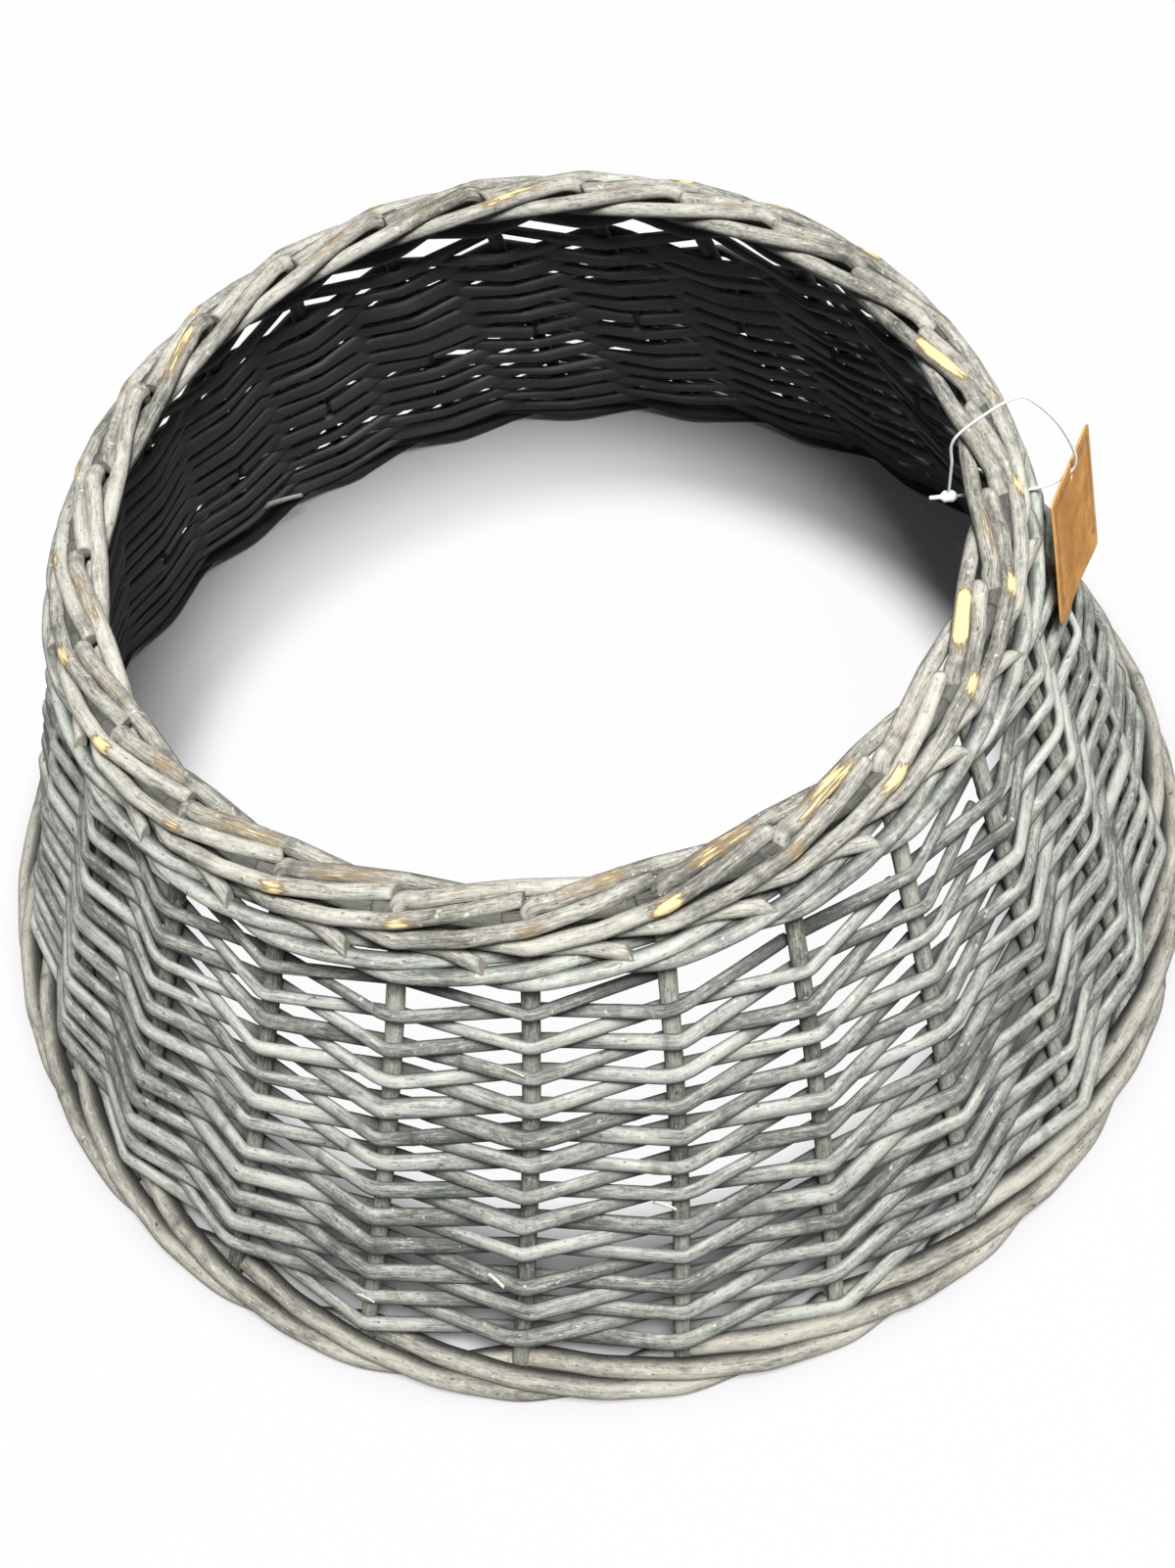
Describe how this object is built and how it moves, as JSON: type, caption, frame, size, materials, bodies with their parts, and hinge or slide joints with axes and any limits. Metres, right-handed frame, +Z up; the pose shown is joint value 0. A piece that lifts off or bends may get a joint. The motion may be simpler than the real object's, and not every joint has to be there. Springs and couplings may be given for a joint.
{
  "type": "christmas tree collar",
  "caption": "Woven willow ring that stands on the floor round the foot of a decorated tree and hides its stand, wide at the base and narrower at the neck, with a loose card tag",
  "frame": {"origin": "on the floor, at the centre of the collar's round base", "axes": "+Z up through the neck, -Y towards the front, +X to the right of someone who stands in front"},
  "size_m": [0.5785, 0.5787, 0.2804],
  "materials": {
    "stake_rod": "grey-washed round willow, matt",
    "weaver_rod": "grey-washed split willow, matt",
    "base_rod": "grey-washed thick willow, matt, a little warmer",
    "nylon": "white nylon filament, smooth",
    "card": "unprinted kraft card"
  },
  "bodies": {
    "collar": {"stake_01": "stake_rod", "stake_02": "stake_rod", "stake_03": "stake_rod", "stake_04": "stake_rod", "stake_05": "stake_rod", "stake_06": "stake_rod", "stake_07": "stake_rod", "stake_08": "stake_rod", "stake_09": "stake_rod", "stake_10": "stake_rod", "stake_11": "stake_rod", "stake_12": "stake_rod", "stake_13": "stake_rod", "stake_14": "stake_rod", "stake_15": "stake_rod", "stake_16": "stake_rod", "stake_17": "stake_rod", "stake_18": "stake_rod", "stake_19": "stake_rod", "stake_20": "stake_rod", "stake_21": "stake_rod", "stake_22": "stake_rod", "stake_23": "stake_rod", "stake_24": "stake_rod", "stake_25": "stake_rod", "weaver_01": "weaver_rod", "weaver_02": "weaver_rod", "weaver_03": "weaver_rod", "weaver_04": "weaver_rod", "weaver_05": "weaver_rod", "weaver_06": "weaver_rod", "weaver_07": "weaver_rod", "weaver_08": "weaver_rod", "weaver_09": "weaver_rod", "weaver_10": "weaver_rod", "weaver_11": "weaver_rod", "weaver_12": "weaver_rod", "weaver_13": "weaver_rod", "weaver_14": "weaver_rod", "weaver_15": "weaver_rod", "weaver_16": "weaver_rod", "weaver_17": "weaver_rod", "weaver_18": "weaver_rod", "weaver_19": "weaver_rod", "weaver_20": "weaver_rod", "weaver_21": "weaver_rod", "weaver_22": "weaver_rod", "weaver_23": "weaver_rod", "weaver_24": "weaver_rod", "weaver_25": "weaver_rod", "neck_wale_rod_1": "weaver_rod", "neck_wale_rod_2": "weaver_rod", "neck_wale_rod_3": "weaver_rod", "base_rod_1": "base_rod", "base_rod_2": "base_rod", "base_rod_3": "base_rod"},
    "label_loop": {"tag_loop": "nylon", "loop_lock": "nylon"},
    "label": {"swing_tag": "card"}
  },
  "joints": [
    {"name": "loop_tilt", "type": "hinge", "parent": "collar", "child": "label_loop", "pos_m": [0.18248, -0.02361, 0.2266], "axis": [0.9917, -0.1283, 0], "range_deg": [-12, 12]},
    {"name": "tag_swing", "type": "hinge", "parent": "label_loop", "child": "label", "pos_m": [0.21037, -0.02722, 0.235], "axis": [-0.5129, -0.8255, 0.2354], "range_deg": [0, 50]}
  ]
}
